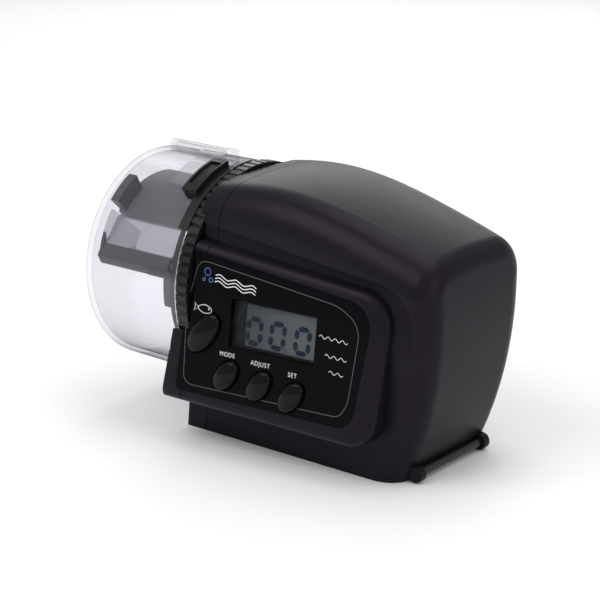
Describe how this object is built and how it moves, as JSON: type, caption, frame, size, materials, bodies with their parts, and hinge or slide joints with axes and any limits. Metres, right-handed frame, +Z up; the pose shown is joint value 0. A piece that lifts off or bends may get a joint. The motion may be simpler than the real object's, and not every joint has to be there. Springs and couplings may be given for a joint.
{
  "type": "automatic fish feeder",
  "caption": "Battery fish feeder: loaf-shaped black case with a leaning control panel and a clear food drum that turns on its front end and drops flakes through a sliding gate.",
  "frame": {"origin": "middle of the case's underside", "axes": "+Z up, +X from the drum towards the case's rear end, -Y towards the control panel"},
  "size_m": [0.1417, 0.0826, 0.0965],
  "materials": {
    "housing_plastic": "fine satin texture",
    "bar_coat": "black painted rod",
    "panel_gloss": "glossy black face",
    "button_plastic": "glossy black, domed",
    "ring_plastic": "black, knurled",
    "clear_plastic": "clear, slightly lavender",
    "scoop_plastic": "charcoal, smooth",
    "scale_print": "white printed strip",
    "lcd_glass": "grey-green display glass",
    "connector_rubber": "striped conductive rubber",
    "board_laminate": "green solder mask",
    "chip_plastic": "moulded black",
    "gear_nylon": "natural white moulding",
    "brass": "machined",
    "steel": "bright zinc plate",
    "motor_can": "plated steel can",
    "gear_plate": "black moulding",
    "plated_contact": "nickel plate",
    "reed_glass": "green-tinted tube",
    "cell_jacket": "plain printed jacket"
  },
  "bodies": {
    "housing": {"front_frame": "housing_plastic", "rear_cover": "housing_plastic", "base_plate": "housing_plastic", "bracket_bar": "bar_coat", "control_panel": "panel_gloss", "lcd_window": "clear_plastic", "lcd_module": "lcd_glass", "display_connector": "connector_rubber", "circuit_board": "board_laminate", "controller_chip": "chip_plastic", "tact_switches": "chip_plastic", "shaft_bush": "brass", "idler_axles": "steel", "case_screws": "steel", "gearbox_screws": "steel", "board_screws": "steel", "motor": "motor_can", "gearbox_plate": "gear_plate", "battery_springs": "plated_contact", "battery_contacts": "plated_contact", "clock_crystal": "plated_contact", "reed_switch": "reed_glass", "battery_cell_1": "cell_jacket", "battery_cell_2": "cell_jacket"},
    "drum": {"drum_cup": "clear_plastic", "drum_ring": "ring_plastic", "drum_scoop": "scoop_plastic", "scoop_slide": "clear_plastic", "outlet_chute": "ring_plastic", "hub_screw": "steel", "output_shaft": "steel", "drive_gear": "gear_nylon", "home_magnet": "plated_contact"},
    "gate": {"dose_gate": "clear_plastic", "gate_scale": "scale_print"},
    "second_wheel": {"second_idler": "gear_nylon"},
    "first_wheel": {"first_idler": "gear_nylon"},
    "motor_rotor": {"motor_pinion": "brass", "motor_shaft": "steel"},
    "feed_key": {"feed_button": "button_plastic"},
    "mode_key": {"mode_button": "button_plastic"},
    "adjust_key": {"adjust_button": "button_plastic"},
    "set_key": {"set_button": "button_plastic"},
    "door": {"battery_door": "housing_plastic"}
  },
  "joints": [
    {"name": "drum_spin", "type": "hinge", "parent": "housing", "child": "drum", "pos_m": [0, 0, 0.052], "axis": [1, 0, 0], "continuous": true},
    {"name": "second_idler_spin", "type": "hinge", "parent": "housing", "child": "second_wheel", "pos_m": [0, 0.01127, 0.07319], "axis": [1, 0, 0], "continuous": true},
    {"name": "first_idler_spin", "type": "hinge", "parent": "housing", "child": "first_wheel", "pos_m": [0, -0.00272, 0.07368], "axis": [1, 0, 0], "continuous": true},
    {"name": "motor_spin", "type": "hinge", "parent": "housing", "child": "motor_rotor", "pos_m": [0, -0.00915, 0.0645], "axis": [1, 0, 0], "continuous": true},
    {"name": "dose_gate_slide", "type": "slide", "parent": "drum", "child": "gate", "axis": [-1, 0, 0], "range_m": [0, 0.005]},
    {"name": "feed_press", "type": "slide", "parent": "housing", "child": "feed_key", "axis": [-0.0759, 0.9869, -0.1421], "range_m": [0, 0.0008], "stiffness_N_per_m": 900, "springref_m": -0.0004},
    {"name": "mode_press", "type": "slide", "parent": "housing", "child": "mode_key", "axis": [-0.0759, 0.9869, -0.1421], "range_m": [0, 0.0008], "stiffness_N_per_m": 900, "springref_m": -0.0004},
    {"name": "adjust_press", "type": "slide", "parent": "housing", "child": "adjust_key", "axis": [-0.0759, 0.9869, -0.1421], "range_m": [0, 0.0008], "stiffness_N_per_m": 900, "springref_m": -0.0004},
    {"name": "set_press", "type": "slide", "parent": "housing", "child": "set_key", "axis": [-0.0759, 0.9869, -0.1421], "range_m": [0, 0.0008], "stiffness_N_per_m": 900, "springref_m": -0.0004},
    {"name": "battery_door_lift", "type": "slide", "parent": "housing", "child": "door", "axis": [0, 0, -1], "range_m": [0, 0.008]}
  ],
  "couplings": [
    {"joint": "second_idler_spin", "follows": "drum_spin", "ratio": -4},
    {"joint": "first_idler_spin", "follows": "drum_spin", "ratio": 14.667},
    {"joint": "motor_spin", "follows": "drum_spin", "ratio": -53.778}
  ]
}
